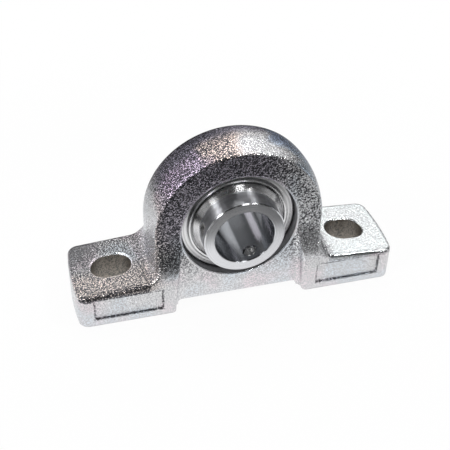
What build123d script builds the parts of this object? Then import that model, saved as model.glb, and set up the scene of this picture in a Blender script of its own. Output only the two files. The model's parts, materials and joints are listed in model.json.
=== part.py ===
from build123d import *

import math
import os

# Pillow block bearing: a plated cast housing on two slotted feet carries a wide-inner-ring
# ball bearing insert in a spherical seat.
#
# Frame: millimetres. X runs along the base, Y through the bore (the front, where the long end of
# the inner ring stands out, faces -Y), Z up. The origin lies on the mounting plane, straight
# below the centre of the ball row.

# ---- housing: driving dimensions ----
shaft_height = 36.5  # mounting plane to bore axis
base_length = 140.0  # over the middle of both foot ends
base_depth = 36.0  # front to back, at the feet
bolt_spacing = 105.0  # slot centre to slot centre
bolt_slot_width = 13.5
bolt_slot_length = 17.0
bolt_slot_rim = 0.6  # chamfer round the top of each slot
foot_end_height = 15.0
foot_root_height = 17.4
foot_end_bulge = 1.5  # the foot ends are bowed out in plan
foot_corner_radius = 4.5
foot_edge_radius = 1.7
foot_blend_radius = 6.5  # between a foot's top and the side of the arch

arch_front = 13.0  # ball row to the front face of the arch
arch_back = 9.6  # ball row to its back face
arch_front_radius = 35.4
arch_crown_radius = 37.3  # the outside of the arch is crowned
arch_back_radius = 36.0
crown_position = 1.0  # behind the ball row
arch_front_edge = 1.5  # fillets of the outer edges
arch_back_edge = 4.0

pillar_bend_height = 20.0  # above this the pillars lean in towards the arch
pillar_bend_ease = 2.9  # how far the curve at that bend reaches up and down
pillar_top_drop = 5.5  # bore axis down to where they meet the planes of its faces
pillar_ease = 4.7  # how far the curve at that meeting reaches up and down
middle_half_width = 28.1  # the face between the pillars is set back
middle_top_half_width = 25.0
middle_corner_share = 0.5  # radii at that step, as shares of its depth at the front
middle_edge_share = 0.4
relief_height = 2.2  # clearance under the middle of the base
relief_half_width = 26.6

panel_centre_x = 48.2  # shallow sunk panel on the front of each foot
panel_length = 28.6
panel_low = 3.3
panel_high = 13.4
panel_depth = 0.7
panel_corner_radius = 0.8

mouth_radius = 24.7
mouth_chamfer = 0.35
loading_slot_width = 17.4

# ---- insert bearing: driving dimensions ----
sphere_radius = 26.0
outer_ring_width = 17.0
outer_ring_chamfer = 0.75
outer_ring_bore_radius = 21.7
bore_radius = 12.5
inner_ring_radius = 17.0
inner_ring_front = 19.8  # ball row to the long end of the inner ring
inner_ring_back = 14.3  # ball row to its short end
bore_chamfer = 0.35
sleeve_chamfer = 0.4

ball_count = 9
first_ball_angle = 90.0
ball_diameter = 7.938
pitch_diameter = 39.0
groove_conformity = 0.515  # raceway groove radius over ball diameter
cage_thickness = 0.8
cage_half_band = 1.6  # half the cage's radial width
rivet_radius = 0.55
rivet_head_radius = 1.0
rivet_head_top_radius = 0.6
rivet_head_height = 0.45

shield_thickness = 0.5
shield_groove_depth = 0.6
shield_groove_inset = 0.8  # ring face to the crimp groove
shield_shoulder = 0.4  # ring bore to where the rim starts to rise
shield_rise = 0.8  # how far the pressed rim stands out of the ring face
shield_rim_slope = 0.4  # radial length of the rim's outer flank
shield_rim_width = 0.7
shield_rim_fall = 0.3  # radial length of the rim's inner flank
shield_web_inset = 0.1  # ring face to the flat web inside the rim
shield_dish = 0.3  # how far the web falls towards the balls
shield_bore_gap = 0.9  # inner ring to the shield's inner edge
seal_bond = 1.0  # how much of the web the rubber covers
seal_thickness = 0.6
seal_lip_length = 0.8  # along the inner ring
slinger_thickness = 0.5
slinger_rim_radius = 19.4
slinger_standoff = 2.9  # ring face to the slinger's hub end
slinger_cone = 1.6  # how far the slinger falls from hub to rim
slinger_hub_gap = 0.4  # ring face to the inner end of the slinger's hub

screw_radius = 3.0  # M6 set screws
screw_from_end = 5.2  # long end of the inner ring to the screw axis
screw_angles = {"set_screw_left": 168.5, "set_screw_lower": 288.5}
screw_recess = 0.25  # both ends lie this far inside the ring wall
screw_socket_across_flats = 3.0
screw_socket_depth = 2.0
screw_cup_radius = 1.5
screw_cup_root_radius = 0.2
screw_cup_depth = 0.6
screw_tip_chamfer = 0.7
screw_head_chamfer = 0.25

# ---- named clearances ----
seat_clearance = 0.05
race_clearance = 0.02
pocket_clearance = 0.1
seal_lip_clearance = 0.1
thread_clearance = 0.05

# ---- sizes that follow from them ----
half_length = base_length / 2
half_depth = base_depth / 2
seat_radius = sphere_radius + seat_clearance
ball_radius = ball_diameter / 2
pitch_radius = pitch_diameter / 2
first_rivet_angle = first_ball_angle + 180 / ball_count
groove_radius = groove_conformity * ball_diameter
ring_face = outer_ring_width / 2
shield_inner_radius = inner_ring_radius + shield_bore_gap
screw_axis = inner_ring_front - screw_from_end
on_bore_axis = Pos(0, 0, shaft_height)
beyond = 5.0  # how far a cutter runs past what it cuts
pillar_top_height = shaft_height - pillar_top_drop
middle_step = half_depth - arch_front
middle_corner_radius = middle_corner_share * middle_step
middle_edge_radius = middle_edge_share * middle_step
pillar_block_height = shaft_height - 0.5  # the pillars end inside the arch


def turned(points):
    """A ring or disc turned about the Y axis from (radius, y) points."""
    outline = make_face(Polyline(*[(radius, y) for radius, y in points], close=True))
    return revolve(outline, axis=Axis.Y)


def drum(radius, y_low, y_high):
    """A cylinder along Y."""
    return turned([(0, y_low), (radius, y_low), (radius, y_high), (0, y_high)])


def front_and_back(points, side):
    """Points of a front piece, or the same mirrored to the back."""
    return [(radius, y if side == "front" else -y) for radius, y in points]


# ---- housing ----


def base_body():
    """Both feet and the pillars: a side outline, an end outline and a plan outline crossed."""
    side_height = pillar_block_height
    slope = (foot_root_height - foot_end_height) / (half_length - arch_front_radius)
    past_end = half_length + beyond
    past_end_height = foot_end_height - slope * beyond
    side = make_face(
        Polyline(
            (-past_end, 0),
            (past_end, 0),
            (past_end, past_end_height),
            (arch_front_radius, foot_root_height),
            (arch_front_radius, side_height),
            (-arch_front_radius, side_height),
            (-arch_front_radius, foot_root_height),
            (-past_end, past_end_height),
            close=True,
        )
    )
    roots = [v for v in side.vertices() if abs(v.Y - foot_root_height) < 0.01]
    side = fillet(roots, foot_blend_radius)
    side_block = extrude(Plane.XZ * side, amount=half_depth + beyond, both=True)

    end = make_face(
        Polyline(
            (-half_depth, 0),
            (half_depth, 0),
            (half_depth, pillar_bend_height),
            (arch_back, pillar_top_height),
            (arch_back, side_height),
            (-arch_front, side_height),
            (-arch_front, pillar_top_height),
            (-half_depth, pillar_bend_height),
            close=True,
        )
    )
    for foot_y, arch_y in ((-half_depth, -arch_front), (half_depth, arch_back)):
        lean = math.atan2(abs(foot_y - arch_y), pillar_top_height - pillar_bend_height)
        bend = end.vertices().sort_by_distance((foot_y, pillar_bend_height, 0))[0]
        end = fillet(bend, pillar_bend_ease / math.tan(lean / 2))
        top = end.vertices().sort_by_distance((arch_y, pillar_top_height, 0))[0]
        end = fillet(top, pillar_ease / math.tan(lean / 2))
    end_block = extrude(Plane.YZ * end, amount=past_end, both=True)

    corner_x = half_length - foot_end_bulge
    plan = make_face(
        Line((-corner_x, -half_depth), (corner_x, -half_depth))
        + ThreePointArc((corner_x, -half_depth), (half_length, 0), (corner_x, half_depth))
        + Line((corner_x, half_depth), (-corner_x, half_depth))
        + ThreePointArc((-corner_x, half_depth), (-half_length, 0), (-corner_x, -half_depth))
    )
    plan = fillet(plan.vertices(), foot_corner_radius)
    plan_block = extrude(plan, amount=side_height + beyond)
    body = side_block & plan_block
    body -= middle_cutter(-arch_front, -half_depth - beyond)
    body -= middle_cutter(arch_back, half_depth + beyond)
    body = fillet(middle_edges(body), middle_edge_radius)
    body &= end_block
    return fillet(skyline_edges(body), foot_edge_radius)


def middle_edges(body):
    """The upright edges where the set-back middle meets the front and back of the feet."""
    edges = []
    for edge in body.edges():
        size = edge.bounding_box().size
        flat = size.Y < 0.01 and size.Z > pillar_bend_height
        if flat and abs(edge.center().X) < middle_half_width:
            edges.append(edge)
    return [edge for edge in edges if abs(edge.center().Y) > half_depth - 0.01]


def skyline_edges(body):
    """The edges where the tops of the feet and the pillar sides meet the faces around them."""
    skyline = []
    for face in body.faces():
        normal = face.normal_at()
        centre = face.center()
        outside = middle_half_width < abs(centre.X) < half_length - 2 * foot_end_bulge
        along = abs(normal.Y) < 0.01 and outside
        if along and 1 < centre.Z < pillar_block_height - 1:
            skyline.append(face)
    edges = []
    for face in skyline:
        for edge in face.edges():
            middle = edge.center()
            inner = any(
                edge.is_same(other) for twin in skyline if twin is not face for other in twin.edges()
            )
            if not inner and 1 < middle.Z < pillar_block_height - 0.5:
                edges.append(edge)
    return edges


def middle_cutter(y_inner, y_outer):
    """What is taken away between the pillars, with rounded inner corners."""
    top = pillar_block_height + beyond
    low = middle_half_width + (middle_half_width - middle_top_half_width) * beyond / top
    outline = make_face(
        Polyline(
            (-low, -beyond),
            (low, -beyond),
            (middle_top_half_width, top),
            (-middle_top_half_width, top),
            close=True,
        )
    )
    depth = y_outer - y_inner
    block = Pos(0, y_inner, 0) * extrude(Plane.XZ * outline, amount=-depth)
    sides = [
        e
        for e in block.edges()
        if abs(e.center().Y - y_inner) < 0.01 and abs(e.center().X) > middle_top_half_width - 1
    ]
    return fillet(sides, middle_corner_radius)


def arch_body():
    """The horseshoe: a crowned section turned over the bore and run straight down to the base."""
    section = make_face(
        Line((0, arch_back), (0, -arch_front))
        + Line((0, -arch_front), (arch_front_radius, -arch_front))
        + ThreePointArc(
            (arch_front_radius, -arch_front),
            (arch_crown_radius, crown_position),
            (arch_back_radius, arch_back),
        )
        + Line((arch_back_radius, arch_back), (0, arch_back))
    )
    front_corner = section.vertices().sort_by_distance((arch_front_radius, -arch_front, 0))[0]
    section = fillet(front_corner, arch_front_edge)
    back_corner = section.vertices().sort_by_distance((arch_back_radius, arch_back, 0))[0]
    section = fillet(back_corner, arch_back_edge)
    over = on_bore_axis * revolve(section, axis=Axis.Y, revolution_arc=-180)
    legs = extrude(section + mirror(section, about=Plane.YZ), amount=shaft_height)
    return over + legs


def housing_part():
    body = base_body() + arch_body()

    relief = make_face(Rectangle(2 * relief_half_width, 2 * relief_height).edges())
    relief = fillet(relief.vertices(), relief_height * 0.8)
    body -= extrude(Plane.XZ * relief, amount=half_depth + beyond, both=True)

    slot = extrude(SlotOverall(bolt_slot_length, bolt_slot_width), amount=shaft_height)
    panel = RectangleRounded(panel_length, panel_high - panel_low, panel_corner_radius)
    sunk = extrude(Plane.XZ * panel, amount=panel_depth + beyond)
    panel_middle = (panel_low + panel_high) / 2
    for side in (-1, 1):
        body -= Pos(side * bolt_spacing / 2, 0, -beyond) * slot
        body -= Pos(side * panel_centre_x, -half_depth + panel_depth, panel_middle) * sunk
    body = chamfer(slot_rims(body), bolt_slot_rim)

    body -= on_bore_axis * drum(mouth_radius, -arch_front - beyond, arch_back + beyond)
    body -= on_bore_axis * Rot(90, 0, 0) * Sphere(seat_radius)
    lead_in = turned(
        [
            (0, -arch_front - mouth_chamfer),
            (mouth_radius + 2 * mouth_chamfer, -arch_front - mouth_chamfer),
            (mouth_radius, -arch_front + mouth_chamfer),
            (0, -arch_front + mouth_chamfer),
        ]
    )
    body -= on_bore_axis * lead_in
    # The outer ring goes in edge-on through two loading slots at the back, then turns square.
    passage = Box(2 * seat_radius, half_depth, loading_slot_width)
    return body - on_bore_axis * Pos(0, half_depth / 2, 0) * passage


def slot_rims(body):
    """The upper edges of both bolt slots."""
    rims = []
    for edge in body.edges():
        centre = edge.center()
        in_slot = abs(abs(centre.X) - bolt_spacing / 2) < bolt_slot_length / 2 + 0.01
        if in_slot and abs(centre.Y) < bolt_slot_width / 2 + 0.01:
            rims.append(edge)
    return [edge for edge in rims if edge.bounding_box().min.Z > foot_end_height / 2]


# ---- insert bearing, turned about the Y axis at its own centre ----


def raceway(bottom_radius, outward):
    """The torus that cuts a ball groove whose deepest point is at bottom_radius."""
    centre = bottom_radius - groove_radius if outward else bottom_radius + groove_radius
    return Rot(90, 0, 0) * Torus(centre, groove_radius)


def outer_ring_part():
    edge_radius = math.sqrt(sphere_radius**2 - ring_face**2)
    ring = drum(sphere_radius, -ring_face, ring_face) & Sphere(sphere_radius)
    ring -= drum(outer_ring_bore_radius, -ring_face - beyond, ring_face + beyond)
    for side in ("front", "back"):
        face_cut = [
            (edge_radius - outer_ring_chamfer, -ring_face),
            (edge_radius + outer_ring_chamfer, -ring_face),
            (edge_radius + outer_ring_chamfer, -ring_face + 2 * outer_ring_chamfer),
        ]
        ring -= turned(front_and_back(face_cut, side))
        ring -= turned(front_and_back(shield_groove(), side))
    ring -= raceway(pitch_radius + ball_radius + race_clearance, outward=True)
    return ring


def shield_groove():
    front = -ring_face + shield_groove_inset
    back = front + shield_thickness
    deep = outer_ring_bore_radius + shield_groove_depth
    shallow = outer_ring_bore_radius - beyond
    return [(shallow, front), (deep, front), (deep, back), (shallow, back)]


def inner_ring_part():
    ring = turned(
        [
            (bore_radius, -inner_ring_front + bore_chamfer),
            (bore_radius + bore_chamfer, -inner_ring_front),
            (inner_ring_radius - sleeve_chamfer, -inner_ring_front),
            (inner_ring_radius, -inner_ring_front + sleeve_chamfer),
            (inner_ring_radius, inner_ring_back - sleeve_chamfer),
            (inner_ring_radius - sleeve_chamfer, inner_ring_back),
            (bore_radius + bore_chamfer, inner_ring_back),
            (bore_radius, inner_ring_back - bore_chamfer),
        ]
    )
    ring -= raceway(pitch_radius - ball_radius - race_clearance, outward=False)
    for angle in screw_angles.values():
        ring -= on_screw_axis(angle) * Pos(0, 0, inner_ring_radius / 2) * Cylinder(
            screw_radius, inner_ring_radius + beyond
        )
    return ring


def shield_part(side):
    """A pressed ring: crimped leg, raised rim, then a web dished towards the balls."""
    groove_front = -ring_face + shield_groove_inset
    groove_back = groove_front + shield_thickness
    leg = outer_ring_bore_radius + shield_groove_depth
    foot = outer_ring_bore_radius - shield_shoulder
    rim_outer = foot - shield_rim_slope
    rim_inner = rim_outer - shield_rim_width
    web_outer = rim_inner - shield_rim_fall
    rim = -ring_face - shield_rise
    web = -ring_face + shield_web_inset
    skin = shield_thickness
    points = [
        (leg, groove_front),
        (foot, groove_front),
        (rim_outer, rim),
        (rim_inner, rim),
        (web_outer, web),
        (shield_inner_radius, web + shield_dish),
        (shield_inner_radius, web + shield_dish + skin),
        (web_outer + skin / 2, web + skin),
        (rim_inner + skin / 2, rim + skin),
        (rim_outer - skin / 2, rim + skin),
        (foot - skin, groove_back),
        (leg, groove_back),
    ]
    return turned(front_and_back(points, side))


def seal_part(side):
    """The rubber lip bonded behind the shield's inner edge."""
    hub = -ring_face + shield_web_inset + shield_dish + shield_thickness
    bond_end = shield_inner_radius + seal_bond
    lip = inner_ring_radius + seal_lip_clearance
    root = hub + seal_thickness
    points = [
        (shield_inner_radius, hub),
        (bond_end, hub),
        (bond_end, root),
        (shield_inner_radius, root),
        (lip, root + seal_lip_length),
        (lip, root),
        (shield_inner_radius - seal_thickness / 2, hub),
    ]
    return turned(front_and_back(points, side))


def slinger_part(side):
    """The coned ring pressed on the inner ring in front of each seal."""
    hub_end = -ring_face - slinger_standoff
    rim = hub_end + slinger_cone
    skin = slinger_thickness
    points = [
        (inner_ring_radius, hub_end),
        (inner_ring_radius + skin / 2, hub_end),
        (slinger_rim_radius, rim),
        (slinger_rim_radius, rim + skin),
        (inner_ring_radius + skin, hub_end + 2 * skin),
        (inner_ring_radius + skin, -ring_face - slinger_hub_gap),
        (inner_ring_radius, -ring_face - slinger_hub_gap),
    ]
    return turned(front_and_back(points, side))


def on_pitch_circle(first_angle):
    """One place per ball on the pitch circle; angles run from +X towards +Z."""
    for number in range(ball_count):
        angle = math.radians(first_angle + number * 360 / ball_count)
        yield Pos(pitch_radius * math.cos(angle), 0, pitch_radius * math.sin(angle))


def ball_places():
    return on_pitch_circle(first_ball_angle)


def rivet_places():
    return on_pitch_circle(first_rivet_angle)


def cage_half_part(side):
    """A ribbon ring: flat where the rivets go, domed over each ball."""
    pocket = ball_radius + pocket_clearance
    dome = pocket + cage_thickness
    inner = pitch_radius - cage_half_band
    outer = pitch_radius + cage_half_band
    hollow = drum(inner, -dome - beyond, beyond)
    seam_at_a_rivet = Rot(0, -first_rivet_angle, 0)
    band = seam_at_a_rivet * (drum(outer, -dome, 0) - hollow)
    half = seam_at_a_rivet * (drum(outer, -cage_thickness, 0) - hollow)
    for place in ball_places():
        half += place * Sphere(dome) & band
    for place in ball_places():
        half -= place * Sphere(pocket)
    for place in rivet_places():
        half -= place * drum(rivet_radius, -dome, beyond)
    return half if side == "front" else Rot(0, 0, 180) * half


def rivet_solids():
    head_end = cage_thickness + rivet_head_height
    shape = turned(
        [
            (0, -head_end),
            (rivet_head_top_radius, -head_end),
            (rivet_head_radius, -cage_thickness),
            (rivet_radius, -cage_thickness),
            (rivet_radius, cage_thickness),
            (rivet_head_radius, cage_thickness),
            (rivet_head_top_radius, head_end),
            (0, head_end),
        ]
    )
    return [place * shape for place in rivet_places()]


def on_screw_axis(angle):
    """Turns +Z onto the radial line at this angle (from +X towards +Z) and moves it along Y."""
    return Pos(0, -screw_axis, 0) * Rot(0, 90 - angle, 0)


def set_screw_part(angle):
    """A short screw with a hexagon socket outside and a cup point inside."""
    low = bore_radius + screw_recess
    high = inner_ring_radius - screw_recess
    radius = screw_radius - thread_clearance
    body = make_face(
        Polyline(
            (0, low),
            (radius - screw_tip_chamfer, low),
            (radius, low + screw_tip_chamfer),
            (radius, high - screw_head_chamfer),
            (radius - screw_head_chamfer, high),
            (0, high),
            close=True,
        )
    )
    screw = Rot(90, 0, 0) * revolve(body, axis=Axis.Y)
    cup = Cone(screw_cup_radius, screw_cup_root_radius, screw_cup_depth)
    cup = Pos(0, 0, low + screw_cup_depth / 2) * cup
    hexagon = RegularPolygon(screw_socket_across_flats / 2, 6, major_radius=False)
    socket = Pos(0, 0, high - screw_socket_depth) * extrude(hexagon, amount=beyond)
    return on_screw_axis(angle) * (screw - cup - socket)


def all_nodes():
    nodes = {"housing": housing_part()}
    nodes["outer_ring"] = on_bore_axis * outer_ring_part()
    nodes["inner_ring"] = on_bore_axis * inner_ring_part()
    for side in ("front", "back"):
        nodes[f"shield_{side}"] = on_bore_axis * shield_part(side)
        nodes[f"seal_{side}"] = on_bore_axis * seal_part(side)
        nodes[f"slinger_{side}"] = on_bore_axis * slinger_part(side)
        nodes[f"cage_half_{side}"] = on_bore_axis * cage_half_part(side)
    nodes["cage_rivets"] = Compound(children=[on_bore_axis * rivet for rivet in rivet_solids()])
    for number, place in enumerate(ball_places(), start=1):
        nodes[f"ball_{number}"] = on_bore_axis * place * Sphere(ball_radius)
    for name, angle in screw_angles.items():
        nodes[name] = on_bore_axis * set_screw_part(angle)
    return nodes


os.makedirs("parts", exist_ok=True)
for name, shape in all_nodes().items():
    export_step(shape, f"parts/{name}.step")
    print(name, len(shape.solids()), round(sum(s.volume for s in shape.solids())))
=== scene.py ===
# %% [markdown]
# # A pillow block bearing, dressed for the camera
#
# A pillow block holds a turning shaft above a machine's frame. Its housing is a rough casting with
# a bright plated skin, and the ball bearing insert in its seat is ground and polished steel. The
# exact solids come from the imported model, so this lesson is mostly about finishes: how one casting
# can be rough outside, machined in its seat and dull inside its bolt slots, and how plain lamps
# and a floor that is pale in some places and dark in others make polished steel readable.

# %% Load the model, and a helper for the size of its nodes
import json
import math

import bmesh
import bpy
from mathutils import Matrix, Vector


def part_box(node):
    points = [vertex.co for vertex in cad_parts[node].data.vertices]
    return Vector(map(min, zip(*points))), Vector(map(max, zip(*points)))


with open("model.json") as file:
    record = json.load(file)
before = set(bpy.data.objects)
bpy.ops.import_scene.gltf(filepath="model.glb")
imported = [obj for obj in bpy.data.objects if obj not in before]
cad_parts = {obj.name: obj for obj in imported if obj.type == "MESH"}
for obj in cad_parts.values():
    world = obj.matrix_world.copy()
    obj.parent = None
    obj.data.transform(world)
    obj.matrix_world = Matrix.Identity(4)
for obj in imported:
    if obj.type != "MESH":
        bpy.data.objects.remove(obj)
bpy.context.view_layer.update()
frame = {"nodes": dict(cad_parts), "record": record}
MM = 0.001

# %% [markdown]
# Sizes that the model knows are read from it instead of being written again. The height of the
# shaft, the bore and the bolt slots are in the record. The corners of two nodes give the rest: the
# seat fits round the outer ring, so their radii are nearly the same, and the sleeve ends where the
# inner ring does.

# %% Places on the object, from the model
mounts = {mount["name"]: mount for mount in frame["record"]["mounts"]}
bore = mounts["shaft_bore"]
slots = mounts["mounting_slots"]["dims"]
shaft_height = bore["pos_m"][2]
bore_radius = bore["dims"]["r_mm"] * MM
slot_centre_x = slots["spacing_x_mm"] * MM / 2
slot_half_width = slots["hole_r_mm"] * MM
slot_straight = slots["slot_length_mm"] * MM / 2 - slot_half_width
ring_low, ring_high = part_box("outer_ring")
sleeve_low, sleeve_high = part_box("inner_ring")
seat_radius = (ring_high.z - ring_low.z) / 2
sleeve_end = sleeve_low.y
print("shaft height", shaft_height, "seat radius", round(seat_radius, 5))
print("the sleeve is", round(sleeve_high.y - sleeve_end, 5), "long")

# %% [markdown]
# ## The camera
#
# The camera looks down on the front from a little to the left. A camera in Blender looks along
# its own -Z, so it is tipped up from there about X, turned about the vertical, and rolled by a
# degree or two about its own line of sight. It then backs away from the point it looks at.

# %% Camera
camera_azimuth = math.radians(-16.35)
camera_elevation = math.radians(38.38)
camera_roll = math.radians(1.66)
camera_target = Vector((-2.85, 0.0, 28.33)) * MM
camera_distance = 369.86 * MM
camera_lens = 69.55

camera_turn = (
    Matrix.Rotation(camera_azimuth, 4, "Z")
    @ Matrix.Rotation(math.pi / 2 - camera_elevation, 4, "X")
    @ Matrix.Rotation(camera_roll, 4, "Z")
)
camera_data = bpy.data.cameras.new("camera")
camera_data.lens = camera_lens
camera_data.clip_start = 0.01
camera = bpy.data.objects.new("camera", camera_data)
camera.matrix_world = (
    Matrix.Translation(camera_target)
    @ camera_turn
    @ Matrix.Translation((0, 0, camera_distance))
)
bpy.context.scene.collection.objects.link(camera)
bpy.context.scene.camera = camera
bpy.context.scene.view_settings.view_transform = "Standard"
print("camera at", [round(part, 3) for part in camera.matrix_world.translation])

# %% [markdown]
# ## Helpers for materials
#
# A material is a small graph of nodes. The first helper fills a socket: a value that is another
# node's output is linked, and any other value is set. The second adds one node and fills its
# inputs. The others are short names for the sums that every finish below is made of.


# %% Node helpers
def fill(tree, socket, value):
    """Links a node's output to the socket, or sets any other value on it."""
    if isinstance(value, bpy.types.NodeSocket):
        tree.links.new(value, socket)
    else:
        socket.default_value = value


def add(tree, kind, inputs=None, **settings):
    """Adds a node to the tree, sets its properties, and fills its inputs by name or number."""
    node = tree.nodes.new(kind)
    for name, value in settings.items():
        setattr(node, name, value)
    for name, value in (inputs or {}).items():
        fill(tree, node.inputs[name], value)
    return node


def maths(tree, operation, first, second=0.0):
    """One arithmetic node; returns its output."""
    return add(tree, "ShaderNodeMath", {0: first, 1: second}, operation=operation).outputs[0]


def plus(tree, first, second):
    return maths(tree, "ADD", first, second)


def minus(tree, first, second):
    return maths(tree, "SUBTRACT", first, second)


def larger(tree, first, second):
    return maths(tree, "MAXIMUM", first, second)


def distance(tree, value, middle=0.0):
    """How far a value is from the middle, on either side of it."""
    return maths(tree, "ABSOLUTE", minus(tree, value, middle))


def times(tree, *values):
    """The product of all the values."""
    product = values[0]
    for value in values[1:]:
        product = maths(tree, "MULTIPLY", product, value)
    return product


print("helpers for sums are ready")

# %% [markdown]
# A mask is a number from 0 to 1 that says where a finish shows. A smooth ramp between two places
# makes one: it is 0 at the first and 1 at the second, and the first may be the larger of the two.
# Masks multiply where both must hold, and a mix takes one as its factor.


# %% Masks and mixes
def ramp(tree, value, low, high):
    """0 at low, 1 at high, and smooth between."""
    node = add(
        tree,
        "ShaderNodeMapRange",
        {"Value": value, "From Min": low, "From Max": high},
        interpolation_type="SMOOTHSTEP",
    )
    return node.outputs["Result"]


def blend_values(tree, factor, first, second):
    """The first number where the factor is 0, and the second where it is 1."""
    return plus(tree, first, times(tree, factor, minus(tree, second, first)))


def blend_colours(tree, factor, first, second):
    """The first colour where the factor is 0, and the second where it is 1."""
    node = add(tree, "ShaderNodeMix", {0: factor, 6: first, 7: second}, data_type="RGBA")
    return node.outputs[2]


def noise(tree, place, size, inputs):
    """A field of soft lumps of about this size; returns its outputs."""
    settings = {"Vector": place, "Scale": 1 / size}
    settings.update(inputs)
    return add(tree, "ShaderNodeTexNoise", settings).outputs


def bump(tree, height, depth):
    """Turns a height from 0 to 1 into a surface with bumps of this depth."""
    inputs = {"Height": height, "Distance": depth, "Strength": 1.0}
    return add(tree, "ShaderNodeBump", inputs).outputs[0]


print("helpers for masks are ready")

# %% [markdown]
# Every finish starts as an empty material that knows where each point is, and ends with one
# surface shader. A node of the model takes its finish on the object, so its mesh stays as it is.


# %% Start, finish and paint
def new_material(name):
    """An empty material; returns it with its tree and its object coordinates."""
    material = bpy.data.materials.new(name)
    material.use_nodes = True
    tree = material.node_tree
    tree.nodes.clear()
    place = add(tree, "ShaderNodeTexCoord").outputs["Object"]
    return material, tree, place


def finish_material(material, tree, inputs):
    """Adds the surface shader and the output."""
    shader = add(tree, "ShaderNodeBsdfPrincipled", inputs)
    add(tree, "ShaderNodeOutputMaterial", {"Surface": shader.outputs[0]})
    return material


def paint(node_name, material):
    """Gives a node of the model one material."""
    mesh_object = frame["nodes"][node_name]
    if not mesh_object.material_slots:
        mesh_object.data.materials.append(None)
    for slot in mesh_object.material_slots:
        slot.link = "OBJECT"
        slot.material = material
    print("painted", node_name, "with", material.name)


# %% [markdown]
# ## Where is a point on the object?
#
# The masks ask simple questions about a point, using only its place: how far is it from the
# shaft's axis, from the seat's centre, from the middle line of a bolt slot? Each answer is a
# distance in metres, so a mask's edge can be put exactly where a machined face ends.


# %% Distances for masks
def parts_of(tree, place):
    """The three coordinates of a point."""
    split = add(tree, "ShaderNodeSeparateXYZ", {0: place})
    return split.outputs[0], split.outputs[1], split.outputs[2]


def length_of(tree, *values):
    """The length of the arrow that has these parts."""
    total = 0.0
    for value in values:
        total = plus(tree, times(tree, value, value), total)
    return maths(tree, "SQRT", total)


def from_shaft_axis(tree, place):
    x, y, z = parts_of(tree, place)
    return length_of(tree, x, minus(tree, z, shaft_height))


def from_seat_centre(tree, place):
    x, y, z = parts_of(tree, place)
    return length_of(tree, x, y, minus(tree, z, shaft_height))


def from_slot_line(tree, place):
    """How far a point is from the nearer bolt slot's middle line, seen from above."""
    x, y, z = parts_of(tree, place)
    along_slot = distance(tree, distance(tree, x), slot_centre_x)
    past_straight = larger(tree, minus(tree, along_slot, slot_straight), 0.0)
    return length_of(tree, past_straight, y)


print("slots at", round(slot_centre_x, 4), "with a straight of", round(slot_straight, 4))

# %% [markdown]
# ## The plated casting
#
# Sand casting leaves a skin like orange peel, and plating makes it shine without making it smooth.
# Up close it is a field of small bumps, about half a millimetre across, and each bump mirrors the
# bright and dark things around it. The bumps could be cut into the mesh, but that would take
# millions of faces, so two layers of noise drive a bump node instead, a coarse one and a fine one.
# The same relief is used again below, to put dirt and shade in the hollows.

# %% The relief of the skin
grain_size = 0.58 * MM
fine_grain_size = 0.34 * MM
fine_share = 0.25

casting, tree, place = new_material("plated_casting")
x, y, z = parts_of(tree, place)
sideways = distance(tree, x)
radius = from_shaft_axis(tree, place)
grain_look = {"Detail": 2.0, "Roughness": 0.6, "Distortion": 0.3}
fine_look = {"Detail": 1.0, "Roughness": 0.5}
grain = noise(tree, place, grain_size, grain_look)["Fac"]
fine = noise(tree, place, fine_grain_size, fine_look)["Fac"]
relief = plus(tree, grain, times(tree, fine, fine_share))
print("grains of", round(grain_size, 5), "and", round(fine_grain_size, 5))

# %% [markdown]
# A passivated plating has faint pink and blue tints that drift over the surface. A third noise,
# with lumps as wide as a thumb, has three colour channels: two of them place the tints, and the
# third is kept to bend the borders of the stronger tints on the crown.

# %% Drifting tints
tint_size = 16 * MM
tint_levels = (0.45, 0.65)
plating_grey = (0.84, 0.84, 0.85, 1)
plating_pink = (0.88, 0.80, 0.84, 1)
plating_blue = (0.78, 0.83, 0.88, 1)

drift = noise(tree, place, tint_size, {"Detail": 1.0})["Color"]
drift_red, drift_green, drift_blue = add(tree, "ShaderNodeSeparateColor", {0: drift}).outputs
pink = ramp(tree, drift_red, *tint_levels)
blue = ramp(tree, drift_green, *tint_levels)
skin = blend_colours(tree, pink, plating_grey, plating_pink)
skin = blend_colours(tree, blue, skin, plating_blue)
print("tints drift over", tint_size)

# %% [markdown]
# The crown is the rounded top of the arch, where the plating's tints are strongest. From left to
# right they turn from purple through amber to plain grey and then blue. The borders would be
# straight lines across the crown, so the noise pushes each point sideways before the colours are
# chosen.

# %% Colours along the crown
crown_purple = (0.70, 0.56, 0.75, 1)
crown_amber = (0.88, 0.72, 0.64, 1)
crown_blue = (0.62, 0.74, 0.88, 1)
amber_border = (-20 * MM, -10 * MM)
grey_border = (-2 * MM, 8 * MM)
blue_border = (14 * MM, 22 * MM)
wander_reach = 40 * MM

wander = times(tree, minus(tree, drift_blue, 0.5), wander_reach)
along = plus(tree, x, wander)
crown_tint_and_shade = blend_colours(tree, ramp(tree, along, *amber_border), crown_purple, crown_amber)
crown_tint_and_shade = blend_colours(tree, ramp(tree, along, *grey_border), crown_tint_and_shade, plating_grey)
crown_tint_and_shade = blend_colours(tree, ramp(tree, along, *blue_border), crown_tint_and_shade, crown_blue)
print("the borders wander by up to", wander_reach / 2)

# %% [markdown]
# The crown's back half gets painted shade, a dark violet that stands in for the dark room it
# mirrors. Its right end gets a dark blue that is partly tint and partly painted shade. Both fade in
# from front to back, the violet along a line that leans a little. Only the outer face of the arch
# has these colours, which is where a point is far enough from the shaft's axis.

# %% Painted shade on the crown's back half
crown_painted_shade = (0.34, 0.31, 0.40, 1)
rim_blue_shade = (0.32, 0.42, 0.62, 1)
shade_lean = 0.15
shade_border = (-2 * MM, 4 * MM)
rim_border = (-8 * MM, 0.0)
rim_end = (10 * MM, 20 * MM)
crown_height = (48 * MM, 60 * MM)
crown_radius = (34.5 * MM, 35.5 * MM)
crown_share = 0.85

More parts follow.
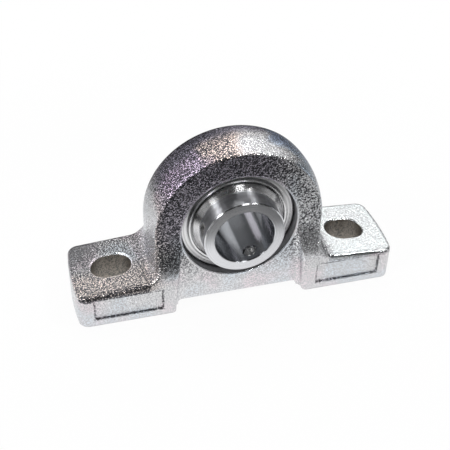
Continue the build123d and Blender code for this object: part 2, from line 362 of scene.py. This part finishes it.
behind_line = minus(tree, y, times(tree, along, shade_lean))
back_shade_mask = ramp(tree, behind_line, *shade_border)
rim_shade_mask = times(tree, ramp(tree, y, *rim_border), ramp(tree, along, *rim_end))
# Painted shade: the crown's back half turns dark violet and its right end dark blue.
crown_tint_and_shade = blend_colours(tree, back_shade_mask, crown_tint_and_shade, crown_painted_shade)
crown_tint_and_shade = blend_colours(tree, rim_shade_mask, crown_tint_and_shade, rim_blue_shade)
on_crown = times(tree, ramp(tree, z, *crown_height), ramp(tree, radius, *crown_radius))
skin = blend_colours(tree, times(tree, on_crown, crown_share), skin, crown_tint_and_shade)
print("the crown shows", crown_share, "of its tint")

# %% [markdown]
# ## The faces of the casting
#
# The front face of the arch gets painted shade, a dusky violet grey that stands in for the dark it
# mirrors, and its right pillar gets painted light, a paler white. A face is picked out by where it
# lies: the front by its place along Y, and the pillar by its places along X and Z as well.

# %% The front of the arch and its right pillar
arch_painted_shade = (0.66, 0.62, 0.70, 1)
pillar_painted_light = (0.97, 0.98, 1.0, 1)
front_face = (-12.7 * MM, -12.95 * MM)
arch_height = (26 * MM, 44 * MM)
arch_end = (26 * MM, 6 * MM)
pillar_side = (20 * MM, 28 * MM)
pillar_foot = (15 * MM, 20 * MM)

on_front = ramp(tree, y, *front_face)
arch_shade_mask = times(tree, on_front, ramp(tree, z, *arch_height), ramp(tree, x, *arch_end))
# Painted shade on the arch's front face, in a violet grey.
skin = blend_colours(tree, arch_shade_mask, skin, arch_painted_shade)
pale = times(tree, on_front, ramp(tree, x, *pillar_side), ramp(tree, z, *pillar_foot))
# Painted light on the right pillar's front.
skin = blend_colours(tree, pale, skin, pillar_painted_light)
print("the front face starts at", round(front_face[1], 5))

# %% [markdown]
# Five more faces get painted light or shade of their own, and their masks are used several times
# below. The first two are the left pillar and the flanks, which are the steep sides above the feet.

# %% Masks for the left pillar and the flanks
left_side = (-20 * MM, -27 * MM)
left_face = (-12.75 * MM, -12.95 * MM)
left_foot = (19 * MM, 25 * MM)
flank_side = (33 * MM, 35 * MM)
flank_top = (60 * MM, 44 * MM)
flank_foot = (17 * MM, 22 * MM)
flank_front = (-12.8 * MM, -12.0 * MM)

left_pillar = times(
    tree,
    ramp(tree, x, *left_side),
    ramp(tree, y, *left_face),
    ramp(tree, z, *left_foot),
)
flank = times(
    tree,
    ramp(tree, sideways, *flank_side),
    ramp(tree, z, *flank_top),
    ramp(tree, z, *flank_foot),
    ramp(tree, y, *flank_front),
)
print("the flanks start at", round(flank_side[1], 4), "from the middle")

# %% [markdown]
# The others are the tops of the two feet, and the drafted lower front, which leans back so that
# the casting leaves its mould.

# %% Masks for the feet and the drafted front
left_top_height = (13.5 * MM, 15.0 * MM)
left_top_side = (-30 * MM, -40 * MM)
right_top_height = (14.5 * MM, 15.0 * MM)
right_top_side = (38 * MM, 44 * MM)
draft = (-13.2 * MM, -16.5 * MM)

left_top = times(tree, ramp(tree, z, *left_top_height), ramp(tree, x, *left_top_side))
right_top = times(tree, ramp(tree, z, *right_top_height), ramp(tree, x, *right_top_side))
drafted = ramp(tree, y, *draft)
print("the feet's tops are above", round(right_top_height[0], 4))

# %% [markdown]
# The tops of the feet differ too. The left one is a warm grey in front, with painted shade in its
# far corner, and the right one is a cool white that is partly a tint and partly painted light where
# the key lamp falls.

# %% Colours and painted light and shade of the feet
foot_amber = (0.98, 0.88, 0.82, 1)
foot_white_light = (0.88, 0.93, 0.93, 1)
corner_painted_shade = (0.42, 0.42, 0.43, 1)
corner_side = (-50 * MM, -68 * MM)
corner_back = (-4 * MM, 14 * MM)
amber_front = (2 * MM, -8 * MM)
foot_light_share = 0.8

corner = times(tree, ramp(tree, x, *corner_side), ramp(tree, y, *corner_back), left_top)
# Painted shade in the far corner of the left foot's top.
skin = blend_colours(tree, corner, skin, corner_painted_shade)
warm = times(tree, left_top, ramp(tree, y, *amber_front))
skin = blend_colours(tree, warm, skin, foot_amber)
# The right foot's top: a cool tint and painted light where the key lamp falls.
skin = blend_colours(tree, times(tree, right_top, foot_light_share), skin, foot_white_light)
print("the right foot shows", foot_light_share, "of its white")

# %% [markdown]
# ## Pits
#
# The hollows between the grains hold shade and dirt. Bumps alone would leave them too bright,
# because every side of a bump finds something to mirror, so they are painted as well, as painted
# shade and dirt. A pit shows where the relief is low, and the level is raised on the arch's high
# face, the left foot's top and the left pillar, so that more painted shade covers these dimly lit
# faces.

# %% Where the pits are
pit_levels = (0.67, 0.57)
shade_spread = 0.055
foot_shade_spread = 0.035
high_face_height = (44 * MM, 64 * MM)
high_face_end = (26 * MM, 10 * MM)

high_face = times(tree, ramp(tree, z, *high_face_height), ramp(tree, x, *high_face_end))
# More of the skin is painted as pits on dimly lit faces: painted shade.
pit_shade_spread = larger(tree, times(tree, high_face, shade_spread), times(tree, left_top, foot_shade_spread))
pit_shade_spread = larger(tree, pit_shade_spread, times(tree, left_pillar, shade_spread))
pits = ramp(tree, minus(tree, relief, pit_shade_spread), *pit_levels)
print("pits are below a relief of", pit_levels[0], "to", round(pit_levels[0] + shade_spread, 3))

# %% [markdown]
# Some places have fewer pits. The machined lead-in of the mouth and the rims of the slots have none,
# and the right foot, the flanks and the crown's highlight keep only some of them, so that less
# painted shade lies where the lamps light the skin.

# %% Where pits are missing
foot_pits = 0.6
flank_pits = 0.5
crown_pits = 0.6
lead_in_radius = (25.6 * MM, 25.4 * MM)
lead_in_depth = (-12.5 * MM, -12.6 * MM)
slot_rim_width = (0.95 * MM, 0.65 * MM)
bright_end = (-8 * MM, 4 * MM)

lead_in = times(tree, ramp(tree, radius, *lead_in_radius), ramp(tree, y, *lead_in_depth))
from_slot = from_slot_line(tree, place)
slot_rim = ramp(tree, from_slot, *(slot_half_width + width for width in slot_rim_width))
bright_crown = times(tree, on_crown, ramp(tree, along, *bright_end))
# Less painted shade where the lamps light the right foot, the flanks and the crown.
pits = times(
    tree,
    pits,
    minus(tree, 1.0, larger(tree, lead_in, slot_rim)),
    blend_values(tree, right_top, 1.0, foot_pits),
    blend_values(tree, flank, 1.0, flank_pits),
    blend_values(tree, bright_crown, 1.0, crown_pits),
)
print("the crown keeps", crown_pits, "of its pits")

# %% [markdown]
# A pit is painted nearly black high up, on the left foot's top and on the left pillar, and only grey
# low down, on the drafted front and on the flanks. This is painted shade that follows how dim the
# light on each face is, since the grain is the same everywhere. The flanks are also painted a bluish
# white, as painted light. The pits are painted after the skin's other colours, so that they cut
# through all the tints.

# %% Paint the pits
pit_shade = (0.06, 0.06, 0.07, 1)
pale_pit_shade = (0.64, 0.64, 0.66, 1)
flank_painted_light = (0.92, 0.94, 0.98, 1)
flank_light_share = 0.8
shade_depth_height = (6 * MM, 28 * MM)
shade_depth_draft = 0.35
shade_depth_flank = 0.2
shade_depth_foot = 0.75
shade_depth_pillar = 0.9

# Painted shade: pits are painted darker where a face lies in dim light, and lighter where it is lit.
pit_shade_depth = times(
    tree,
    ramp(tree, z, *shade_depth_height),
    blend_values(tree, drafted, 1.0, shade_depth_draft),
    blend_values(tree, flank, 1.0, shade_depth_flank),
)
pit_shade_depth = larger(tree, pit_shade_depth, times(tree, left_top, shade_depth_foot))
pit_shade_depth = larger(tree, pit_shade_depth, times(tree, left_pillar, shade_depth_pillar))
pit_colour = blend_colours(tree, pit_shade_depth, pale_pit_shade, pit_shade)
# Painted light: the flanks are painted a bluish white where the lamps fall.
skin = blend_colours(tree, times(tree, flank, flank_light_share), skin, flank_painted_light)
skin = blend_colours(tree, pits, skin, pit_colour)
print("pits go down to a shade of", pit_shade[0])

# %% [markdown]
# ## Dirt and painted shade
#
# Dirt and painted shade collect along the sunk panel on the front of each foot, where the panel's
# edge would cast a shadow. The distance from a rectangle's outline is the larger of how far a point
# lies past its sides and past its top, without the sign. The relief breaks the dirt and shade up, so
# that they lie in the hollows and aren't a drawn line.

# %% Dirt and painted shade round the panels
panel_centre_x = 48.2 * MM
panel_centre_z = 8.35 * MM
panel_half_length = 14.3 * MM
panel_half_height = 5.05 * MM
outline_width = (0.7 * MM, 0.2 * MM)
panel_front = (-16.6 * MM, -17.0 * MM)
hollow_levels = (0.73, 0.56)

beside = minus(tree, distance(tree, sideways, panel_centre_x), panel_half_length)
above = minus(tree, distance(tree, z, panel_centre_z), panel_half_height)
from_outline = distance(tree, larger(tree, beside, above))
outline = times(tree, ramp(tree, from_outline, *outline_width), ramp(tree, y, *panel_front))
in_hollows = ramp(tree, relief, *hollow_levels)
# Dirt and painted shade along each panel's outline.
panel_dirt_and_shade = times(tree, outline, in_hollows)
print("panels", round(2 * panel_half_length, 4), "by", round(2 * panel_half_height, 4))

# %% [markdown]
# The band along the feet's upper front edges is made the same way. It is dirt and a painted dark
# reflection of what lies in front of the rounded edges. It is dense on the left foot, where it
# covers all but the tops of the grains, and thin on the right one.

# %% Dirt and painted reflection along the feet's front edges
middle = (-5 * MM, 5 * MM)
edge_height = (12.6 * MM, 13.3 * MM)
edge_front = (-15.3 * MM, -16.2 * MM)
edge_side = (38 * MM, 40 * MM)
dense_levels = (0.80, 0.62)
right_edge_share = 0.5

on_right = ramp(tree, x, *middle)
front_edge = times(
    tree,
    ramp(tree, z, *edge_height),
    ramp(tree, y, *edge_front),
    ramp(tree, sideways, *edge_side),
    blend_values(tree, on_right, 1.0, right_edge_share),
)
dense = ramp(tree, relief, *dense_levels)
# Dirt and a painted dark reflection along the feet's front edges.
edge_dirt_and_reflection = times(tree, front_edge, blend_values(tree, on_right, dense, in_hollows))
skin = blend_colours(tree, larger(tree, panel_dirt_and_shade, edge_dirt_and_reflection), skin, pit_shade)
print("the right foot has", right_edge_share, "of the left one's dirt")

# %% [markdown]
# ## Machined faces and slots
#
# The seat and its mouth are turned after casting, and the pads underneath are milled flat, so
# they have no skin. The masks end a fraction of a millimetre off each machined face.

# %% Masks for machined places
mask_edge = 0.15 * MM
mouth_step = 0.9 * MM
mouth_radius = seat_radius - mouth_step
mouth_front = (-12.62 * MM, -12.5 * MM)

in_mouth = ramp(tree, radius, mouth_radius + mask_edge, mouth_radius)
inside = times(tree, in_mouth, ramp(tree, y, *mouth_front))
from_seat = from_seat_centre(tree, place)
in_seat = ramp(tree, from_seat, seat_radius + 2 * mask_edge, seat_radius + mask_edge)
underneath = ramp(tree, z, mask_edge, 0.0)
machined = larger(tree, larger(tree, inside, in_seat), underneath)
in_slot = ramp(tree, from_slot, slot_half_width + mask_edge, slot_half_width)
print("turned inside a radius of", round(mouth_radius, 5))

# %% [markdown]
# The last cell puts the casting together. The slots are cored holes that the plating hardly reaches,
# dull and brown. The relief is flatter on machined faces and on the right foot's top, and machined
# faces and slots scatter more light than the plated skin does.

# %% The finished casting
grain_depth = 0.28 * MM
machined_relief = 0.15
foot_relief = 0.5
skin_roughness = 0.22
dull_roughness = 0.42
machined_grey = (0.30, 0.30, 0.31, 1)
slot_brown = (0.42, 0.38, 0.33, 1)
slot_dark = (0.14, 0.14, 0.14, 1)
slot_levels = (0.50, 0.72)

slot_skin = blend_colours(tree, ramp(tree, relief, *slot_levels), slot_dark, slot_brown)
colour = blend_colours(tree, machined, skin, machined_grey)
colour = blend_colours(tree, in_slot, colour, slot_skin)
height = times(
    tree,
    relief,
    blend_values(tree, machined, 1.0, machined_relief),
    blend_values(tree, right_top, 1.0, foot_relief),
)
dull = larger(tree, machined, in_slot)
finish_material(
    casting,
    tree,
    {
        "Base Color": colour,
        "Metallic": 1.0,
        "Roughness": blend_values(tree, dull, skin_roughness, dull_roughness),
        "Normal": bump(tree, height, grain_depth),
    },
)
paint("housing", casting)

# %% [markdown]
# ## Turned and ground steel
#
# The insert's rings are turned and then ground about the shaft's axis, so their faces carry fine
# rings of tool marks. The marks are a noise with one dimension: it reads only the distance from
# the axis, plus a little of the place along it, so it draws rings on flat faces and on cylinders
# alike. They show as grooves and as slightly darker metal. Such a surface also smears its
# reflections across the marks. The anisotropic part of the shader does that, and it is told which
# way the marks run: round the axis.


# %% A finish for turned steel
bore_painted_shade = (0.30, 0.31, 0.33, 1)
bore_roughness = 0.22
bore_edge = (bore_radius + 0.3 * MM, bore_radius + 0.1 * MM)
end_roughness = 0.22
end_edge = (sleeve_end + 0.5 * MM, sleeve_end + 0.2 * MM)
mark_slope = 0.37
groove_levels = (0.38, 0.55)
smudge_size = 6 * MM
smudge_share = 0.4


def tool_marks(tree, place, mark_size):
    """A height that changes only with the distance from the axis and along it."""
    x, y, z = parts_of(tree, place)
    across = plus(tree, from_shaft_axis(tree, place), times(tree, y, mark_slope))
    step = maths(tree, "DIVIDE", across, mark_size)
    inputs = {"W": step, "Scale": 1.0, "Detail": 2.0}
    return add(tree, "ShaderNodeTexNoise", inputs, noise_dimensions="1D").outputs["Fac"]


def round_the_axis(tree, place):
    """The direction in which the tool marks run."""
    x, y, z = parts_of(tree, place)
    parts = {0: minus(tree, z, shaft_height), 2: times(tree, x, -1.0)}
    return add(tree, "ShaderNodeCombineXYZ", parts).outputs[0]


def turned_steel(name, colour, roughness, mark_size, mark_depth, mark_shade=1.0):
    """Steel with rings of tool marks, plain in the bore and painted darker there as painted shade,
    and finer at the end face.
    """
    material, tree, place = new_material(name)
    in_bore = ramp(tree, from_shaft_axis(tree, place), *bore_edge)
    at_end = ramp(tree, parts_of(tree, place)[1], *end_edge)
    marks = tool_marks(tree, place, mark_size)
    groove = tuple(part * mark_shade for part in colour[:3]) + (1,)
    marked = blend_colours(tree, ramp(tree, marks, *groove_levels), groove, colour)
    smudge = noise(tree, place, smudge_size, {"Detail": 3.0})["Fac"]
    rough = plus(tree, roughness, times(tree, smudge, roughness * smudge_share))
    rough = blend_values(tree, in_bore, rough, bore_roughness)
    # The bore's dark grey is painted shade inside the ring.
    return finish_material(
        material,
        tree,
        {
            "Base Color": blend_colours(tree, in_bore, marked, bore_painted_shade),
            "Metallic": 1.0,
            "Roughness": blend_values(tree, at_end, rough, end_roughness),
            "Anisotropic": 0.95,
            "Anisotropic Rotation": 0.25,
            "Tangent": round_the_axis(tree, place),
            "Normal": bump(tree, marks, mark_depth),
        },
    )


print("the bore's radius is", bore_radius)

# %% [markdown]
# The rings, the sheet parts, the balls and the screws are the same kind of steel, finished to
# different degrees. The shields and slingers are bright pressed sheet with strong marks, the
# sleeve is polished, the cage is duller, and the balls are lapped almost to a mirror.

# %% Steel finishes
bright = (0.97, 0.97, 0.98, 1)
cool = (0.90, 0.91, 0.94, 1)
cage_grey = (0.50, 0.49, 0.47, 1)
ball_grey = (0.78, 0.78, 0.80, 1)
screw_grey = (0.50, 0.50, 0.50, 1)
strong_marks = {"mark_size": 0.7 * MM, "mark_depth": 0.09 * MM, "mark_shade": 0.7}
light_marks = {"mark_size": 0.7 * MM, "mark_depth": 0.02 * MM, "mark_shade": 0.9}
sheet_marks = {"mark_size": 0.3 * MM, "mark_depth": 0.003 * MM}
lapped_marks = {"mark_size": 0.5 * MM, "mark_depth": 0.0002 * MM}
thread_marks = {"mark_size": 0.1 * MM, "mark_depth": 0.003 * MM}

ring_steel = turned_steel("ground_ring", bright, roughness=0.24, **strong_marks)
sleeve_steel = turned_steel("polished_sleeve", cool, roughness=0.24, **light_marks)
pressed_steel = turned_steel("pressed_sheet", bright, roughness=0.22, **strong_marks)
cage_steel = turned_steel("cage_sheet", cage_grey, roughness=0.3, **sheet_marks)
ball_steel = turned_steel("ball_polish", ball_grey, roughness=0.04, **lapped_marks)
screw_steel = turned_steel("plated_screw", screw_grey, roughness=0.3, **thread_marks)
steels = (ring_steel, sleeve_steel, pressed_steel, cage_steel, ball_steel, screw_steel)
print("steels", [steel.name for steel in steels])

# %% [markdown]
# Each piece of the insert takes one of them. The balls are found by their names.

# %% Paint the insert
paint("outer_ring", ring_steel)
paint("inner_ring", sleeve_steel)
for side in ("front", "back"):
    paint(f"shield_{side}", pressed_steel)
    paint(f"slinger_{side}", pressed_steel)
    paint(f"cage_half_{side}", cage_steel)
paint("cage_rivets", cage_steel)
for name in frame["nodes"]:
    if name.startswith("ball_"):
        paint(name, ball_steel)
for name in ("set_screw_left", "set_screw_lower"):
    paint(name, screw_steel)

# %% [markdown]
# ## Seal rubber
#
# The lips behind the shields are black nitrile: matte, with a faint moulded grain.

# %% Rubber
rubber_black = (0.02, 0.02, 0.02, 1)
rubber_roughness = 0.6
rubber_grain_size = 0.3 * MM
rubber_grain_depth = 0.01 * MM

rubber, tree, place = new_material("seal_rubber")
moulded = noise(tree, place, rubber_grain_size, {"Detail": 2.0})["Fac"]
finish_material(
    rubber,
    tree,
    {
        "Base Color": rubber_black,
        "Roughness": rubber_roughness,
        "Normal": bump(tree, moulded, rubber_grain_depth),
    },
)
for side in ("front", "back"):
    paint(f"seal_{side}", rubber)

# %% [markdown]
# ## The studio
#
# Bright metal shows its surroundings, so a studio for it is a set of pale and dark places. In a
# real one, pale card would lie beside and behind the object and a dark card in front of it, and
# the far floor behind it would stay dark. Each of these draws a band on the steel and the casting.
# Here they are all parts of one large square floor, so nothing but the floor can be seen.


# %% Floor
def flat_square(name, size, centre):
    """A square facing up."""
    mesh = bpy.data.meshes.new(name)
    shape = bmesh.new()
    bmesh.ops.create_grid(shape, x_segments=1, y_segments=1, size=size / 2)
    bmesh.ops.translate(shape, verts=shape.verts, vec=centre)
    shape.to_mesh(mesh)
    shape.free()
    square = bpy.data.objects.new(name, mesh)
    bpy.context.scene.collection.objects.link(square)
    return square


floor_size = 6.0
floor_drop = 0.2 * MM
floor = flat_square("floor", floor_size, (0, 0, -floor_drop))
print("floor", floor_size, "wide")

# %% [markdown]
# The strengths below are what metal sees: a pale floor round the object, a grey card behind it, a
# dark card in front, and a far floor that is dim in front and nearly black behind. Each edge is a
# ramp along the floor, in metres.

# %% What metal sees of the floor
near_floor = 0.92
grey_card = 0.60
grey_card_edge = (0.04, 0.10)
dark_card = 0.02
dark_card_edge = (0.052, 0.076)
dark_card_middle = -0.02
dark_card_sides = (0.36, 0.20)
far_front = 0.35
far_front_edge = (0.15, 0.40)
far_back = 0.05
far_back_edge = (0.13, 0.20)

floor_paint, tree, place = new_material("floor")
x, y, z = parts_of(tree, place)
to_front = times(tree, y, -1.0)
from_middle = distance(tree, x, dark_card_middle)
on_dark_card = times(
    tree,
    ramp(tree, to_front, *dark_card_edge),
    ramp(tree, from_middle, *dark_card_sides),
)
floor_seen = blend_values(tree, ramp(tree, y, *grey_card_edge), near_floor, grey_card)
floor_seen = blend_values(tree, on_dark_card, floor_seen, dark_card)
floor_seen = blend_values(tree, ramp(tree, to_front, *far_front_edge), floor_seen, far_front)
floor_seen = blend_values(tree, ramp(tree, y, *far_back_edge), floor_seen, far_back)
print("the floor shines from", dark_card, "to", near_floor)

# %% [markdown]
# The camera itself sees a white floor, with the object's shadow on it. A strength of 1 is white.
# Near the object a twentieth of that white comes from a matt card, which is where the shadow
# falls, and further off the floor is plain white. Rays that come from metal see the strengths
# above, and all others meet the matt card.


# %% The floor's surface
def mix_shaders(tree, factor, first, second):
    """The first shader where the factor is 0, and the second where it is 1."""
    return add(tree, "ShaderNodeMixShader", {0: factor, 1: first, 2: second}).outputs[0]


white = (1, 1, 1, 1)
matt_white = (0.9, 0.9, 0.9, 1)
near_share = 0.95
shadow_ends = (0.08, 0.25)

rays = add(tree, "ShaderNodeLightPath").outputs
glow = add(tree, "ShaderNodeEmission", {"Color": white, "Strength": floor_seen}).outputs[0]
plain = add(tree, "ShaderNodeEmission", {"Color": white, "Strength": 1.0}).outputs[0]
matt = add(tree, "ShaderNodeBsdfDiffuse", {"Color": matt_white}).outputs[0]
further_off = ramp(tree, length_of(tree, x, y), *shadow_ends)
own_light = blend_values(tree, further_off, near_share, 1.0)
shown = mix_shaders(tree, own_light, matt, plain)
other = mix_shaders(tree, rays["Is Glossy Ray"], matt, glow)
mixed = mix_shaders(tree, rays["Is Camera Ray"], other, shown)
add(tree, "ShaderNodeOutputMaterial", {"Surface": mixed})
floor.data.materials.append(floor_paint)
print("the floor's own light near the object is", near_share)

# %% [markdown]
# ## The room
#
# Above the floor the room is dark with a few pale places: a low glow in front, a pale wall low on
# the left, a screen behind and above, and a bright corner on the left behind. A direction has
# three parts between -1 and 1 along X, Y and Z, so the same ramps pick these places out.

# %% Places in the room
world = bpy.data.worlds.new("studio")
bpy.context.scene.world = world
world.use_nodes = True
tree = world.node_tree
tree.nodes.clear()
direction = add(tree, "ShaderNodeTexCoord").outputs["Generated"]
x, y, z = parts_of(tree, direction)

front_forward = (0.2, -0.3)
front_low = (0.30, 0.10)
wall_leftward = (-0.25, -0.55)
wall_backward = (0.2, 0.5)
wall_low = (0.38, 0.20)
screen_backward = (-0.2, 0.5)
screen_upward = (0.1, 0.9)
corner_leftward = (-0.50, -0.70)
corner_backward = (0.0, 0.3)
corner_low = (0.65, 0.45)

low_front = times(tree, ramp(tree, y, *front_forward), ramp(tree, z, *front_low))
left_wall = times(
    tree,
    ramp(tree, x, *wall_leftward),
    ramp(tree, y, *wall_backward),
    ramp(tree, z, *wall_low),
)
screen = times(tree, ramp(tree, y, *screen_backward), ramp(tree, z, *screen_upward))
left_corner = times(
    tree,
    ramp(tree, x, *corner_leftward),
    ramp(tree, y, *corner_backward),
    ramp(tree, z, *corner_low),
)
print("world", world.name, "has four pale places")

# %% [markdown]
# Each place then gets its strength. The camera sees plain white there instead, as it does on the
# floor.

# %% World
room_dark = 0.01
front_glow = 0.35
wall_glow = 0.75
screen_glow = 0.50
corner_glow = 0.85

room = blend_values(tree, low_front, room_dark, front_glow)
room = blend_values(tree, left_wall, room, wall_glow)
room = blend_values(tree, screen, room, screen_glow)
room = blend_values(tree, left_corner, room, corner_glow)
rays = add(tree, "ShaderNodeLightPath").outputs
room_light = add(tree, "ShaderNodeBackground", {"Color": white, "Strength": room}).outputs[0]
white_sky = add(tree, "ShaderNodeBackground", {"Color": white, "Strength": 1.0}).outputs[0]
sky = mix_shaders(tree, rays["Is Camera Ray"], room_light, white_sky)
add(tree, "ShaderNodeOutputWorld", {"Surface": sky})
print("the room shines from", room_dark, "to", corner_glow)

# %% [markdown]
# ## Lamps
#
# Each lamp is a soft rectangle with a place and a size in metres, and its place decides which
# faces mirror it. The key lights the tops of the feet, the crown strip hangs close above the arch
# and draws the long highlight along its crown, and the two at the top left and right light the
# skin's grains and the insert.


# %% Lamps
def soft_box(name, place, size, watts, aim=(0, 0, 0.03), colour=(1, 1, 1)):
    """A rectangular lamp at a place, facing the aim."""
    data = bpy.data.lights.new(name, "AREA")
    data.shape = "RECTANGLE"
    data.size, data.size_y = size
    data.energy = watts
    data.color = colour
    lamp = bpy.data.objects.new(name, data)
    lamp.location = place
    facing = Vector(aim) - Vector(place)
    lamp.rotation_euler = facing.to_track_quat("-Z", "Y").to_euler()
    lamp.visible_camera = False
    bpy.context.scene.collection.objects.link(lamp)
    print("lamp", name, "with", watts, "W at", round(facing.length, 2), "m")


over_right_foot = (0.05, 0, 0.03)
arch_middle = (0, 0, 0.06)
faint_pink = (1, 0.9, 0.97)

soft_box("key", (0.20, 0.30, 0.27), (0.26, 0.16), watts=0.19, aim=over_right_foot)
soft_box("back_left", (-0.35, 0.42, 0.16), (0.04, 0.2), watts=0.10, colour=faint_pink)
soft_box("overhead", (0.0, 0.1, 0.6), (0.25, 0.12), watts=0.4)
soft_box("crown_strip", (0.01, 0.055, 0.165), (0.24, 0.04), watts=0.08, aim=arch_middle)
soft_box("right", (0.48, 0.27, 0.30), (0.20, 0.14), watts=0.25)
soft_box("top_left", (-0.46, -0.16, 0.38), (0.25, 0.15), watts=1.6)
soft_box("front_high", (0.12, -0.34, 0.45), (0.12, 0.12), watts=0.25)
soft_box("top_right", (0.30, -0.16, 0.48), (0.07, 0.07), watts=0.9)

# %% [markdown]
# ## Sizes
#
# Finishes change no shape, so the dressed object's box is the box it had when it was loaded.

# %% The sizes stay as loaded
print("finishes change no shape")
